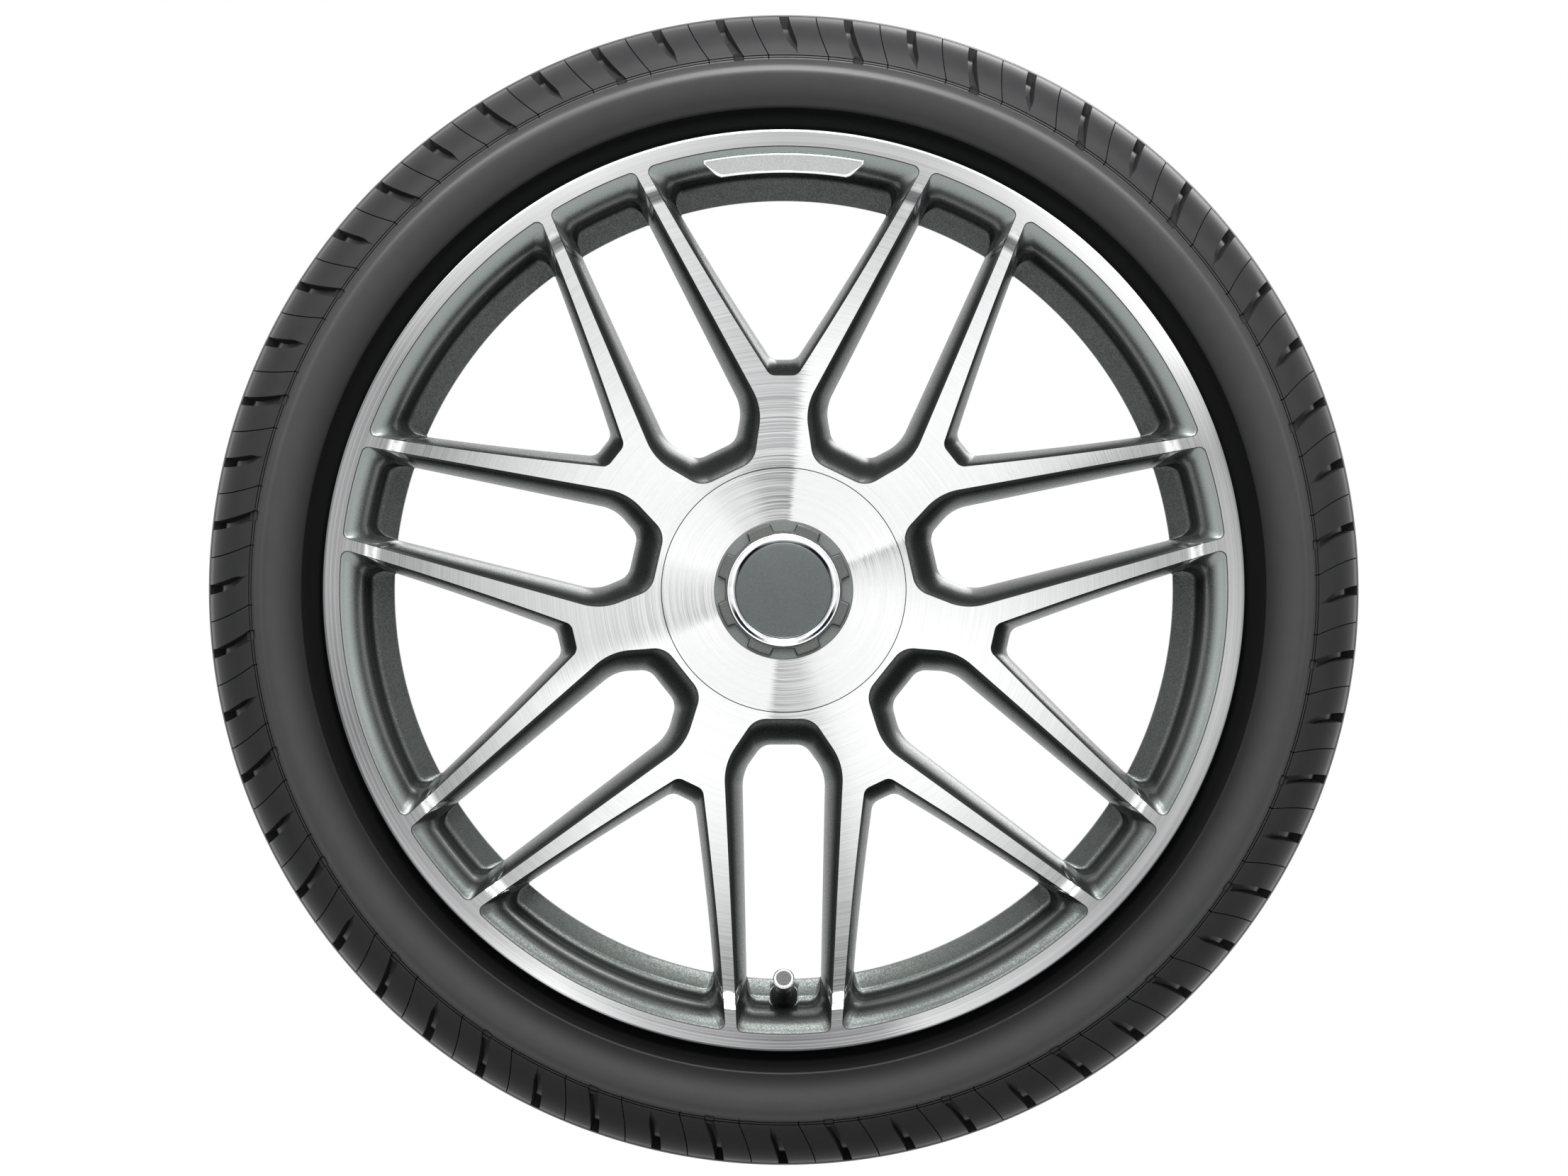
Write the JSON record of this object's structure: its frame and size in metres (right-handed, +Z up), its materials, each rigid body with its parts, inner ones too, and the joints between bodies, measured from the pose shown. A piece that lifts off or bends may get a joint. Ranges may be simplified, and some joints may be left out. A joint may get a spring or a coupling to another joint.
{
  "type": "alloy wheel",
  "caption": "Car wheel: forged alloy rim with paired spokes, pull-off hub cover with castellated centre ring, rubber valve with metal cap, and a mounted low-profile road tyre.",
  "frame": {"origin": "centre of the wheel: on its axle line, halfway across the tyre", "axes": "+Z up, +Y along the axle line towards the car, so the street face looks along -Y; +X to the right as seen from the street; the valve is at the bottom"},
  "size_m": [0.681, 0.249, 0.6808],
  "materials": {
    "forged_alloy": "metallic paint in the pockets, bright turned face",
    "tyre_rubber": "matte",
    "cover_face": "bright turned",
    "spring_steel": "satin",
    "graphite_plastic": "satin metallic",
    "bright_chrome": "polished",
    "graphite_disc": "metallic lacquer",
    "valve_rubber": "matte",
    "brass": "turned"
  },
  "bodies": {
    "wheel": {"alloy_wheel": "forged_alloy", "tyre": "tyre_rubber", "valve_rubber": "valve_rubber", "valve_stem": "brass", "valve_core": "brass", "valve_spring": "spring_steel"},
    "cover": {"hub_cover": "cover_face", "cover_spring_ring": "spring_steel", "castellated_ring": "graphite_plastic", "bezel_ring": "bright_chrome", "centre_disc": "graphite_disc"},
    "pin": {"valve_pin": "brass", "valve_pin_seal": "valve_rubber"},
    "cap": {"valve_cap": "bright_chrome", "valve_cap_insert": "valve_rubber", "valve_cap_seal": "valve_rubber"}
  },
  "joints": [
    {"name": "cover_pull", "type": "slide", "parent": "wheel", "child": "cover", "axis": [0, -1, 0], "range_m": [0, 0.05]},
    {"name": "pin_press", "type": "slide", "parent": "wheel", "child": "pin", "axis": [0, 0.9511, -0.309], "range_m": [0, 0.0015], "stiffness_N_per_m": 2000, "springref_m": -0.001, "deforming": ["valve_spring"]},
    {"name": "cap_off", "type": "slide", "parent": "wheel", "child": "cap", "axis": [0, -0.9511, 0.309], "range_m": [0, 0.014]}
  ]
}
